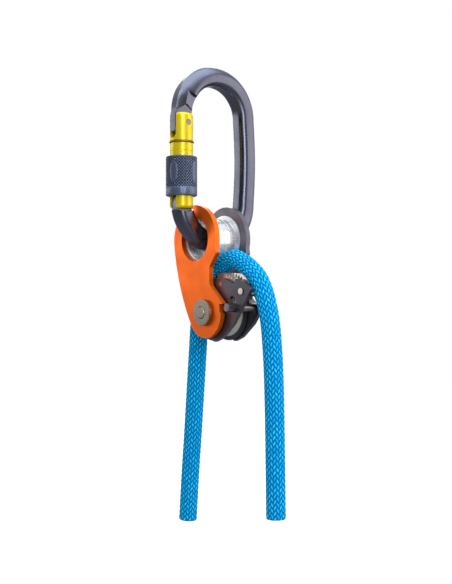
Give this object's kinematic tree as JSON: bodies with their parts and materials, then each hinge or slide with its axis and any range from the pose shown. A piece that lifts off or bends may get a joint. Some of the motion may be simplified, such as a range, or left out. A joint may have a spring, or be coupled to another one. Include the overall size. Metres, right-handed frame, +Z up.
{
  "type": "rope ascender",
  "caption": "Pulley-type rope ascender with a sprung toothed cam between two side plates, hung from an oval screw-gate connector and threaded with a short rope.",
  "frame": {"origin": "inside of the connector's top bend, where it hangs from its anchor", "axes": "+Z up, +X along the ascender's axle away from the front plate, -Y towards the cam"},
  "size_m": [0.0637, 0.092, 0.2757],
  "materials": {
    "connector": "satin anodised",
    "gate": "yellow anodised",
    "sleeve": "knurled, anodised",
    "ring": "satin",
    "front": "orange anodised",
    "back": "dark anodised",
    "drum": "polished",
    "axle": "peened",
    "cam": "dark satin",
    "teeth": "bright",
    "sheave": "matt",
    "bushing": "plain",
    "steel": "bright",
    "rope": "braided"
  },
  "bodies": {
    "connector": {"connector_body": "connector", "gate_hinge_rivet": "steel"},
    "gate": {"gate_tube": "gate", "gate_nose_pin": "steel", "gate_ring": "ring", "gate_spring": "steel"},
    "plunger": {"gate_plunger": "steel"},
    "sleeve": {"lock_sleeve": "sleeve"},
    "ascender": {"back_plate": "back", "rope_drum": "drum", "main_axle": "axle", "axle_front_collar": "axle", "cam_front_washer": "steel", "cam_spring": "steel", "rope_left_strand": "rope", "rope_held": "rope", "rope_right_strand": "rope"},
    "front_side": {"front_plate": "front"},
    "cam": {"cam_front_plate": "cam", "cam_rear_plate": "cam", "cam_teeth": "teeth", "cam_inner_rivet": "steel", "cam_outer_rivet": "steel", "lock_pin_spring": "steel"},
    "lock": {"lock_pin": "axle"},
    "wheel": {"sheave": "sheave", "sheave_bushing": "bushing"}
  },
  "joints": [
    {"name": "gate_hinge", "type": "hinge", "parent": "connector", "child": "gate", "pos_m": [-0.02375, 0, -0.0653], "axis": [0, 1, 0], "range_deg": [0, 26], "stiffness_Nm_per_rad": 0.12, "springref_deg": -45.84},
    {"name": "plunger_slide", "type": "slide", "parent": "gate", "child": "plunger", "axis": [0, 0, 1], "range_m": [0, 0.0013], "deforming": ["gate_spring"]},
    {"name": "sleeve_slide", "type": "slide", "parent": "gate", "child": "sleeve", "axis": [0, 0, 1], "range_m": [0, 0.016]},
    {"name": "ascender_swing", "type": "hinge", "parent": "connector", "child": "ascender", "pos_m": [-0.0015, 0, -0.09221], "axis": [1, 0, 0], "range_deg": [-45, 45]},
    {"name": "front_plate_pivot", "type": "hinge", "parent": "ascender", "child": "front_side", "pos_m": [-0.0015, -0.00964, -0.13531], "axis": [1, 0, 0], "range_deg": [-1, 1]},
    {"name": "cam_pivot", "type": "hinge", "parent": "ascender", "child": "cam", "pos_m": [-0.0015, -0.00964, -0.13531], "axis": [1, 0, 0], "range_deg": [0, 25], "stiffness_Nm_per_rad": 0.05, "springref_deg": -34.38, "deforming": ["cam_spring"]},
    {"name": "lock_pin_slide", "type": "slide", "parent": "cam", "child": "lock", "axis": [0, 0.4384, 0.8988], "range_m": [0, 0.0046], "stiffness_N_per_m": 150, "springref_m": -0.004, "deforming": ["lock_pin_spring"]},
    {"name": "sheave_spin", "type": "hinge", "parent": "ascender", "child": "wheel", "pos_m": [-0.0015, -0.00964, -0.13531], "axis": [1, 0, 0], "continuous": true}
  ],
  "couplings": [
    {"joint": "plunger_slide", "follows": "gate_hinge", "m_per_rad": 0.0025}
  ]
}
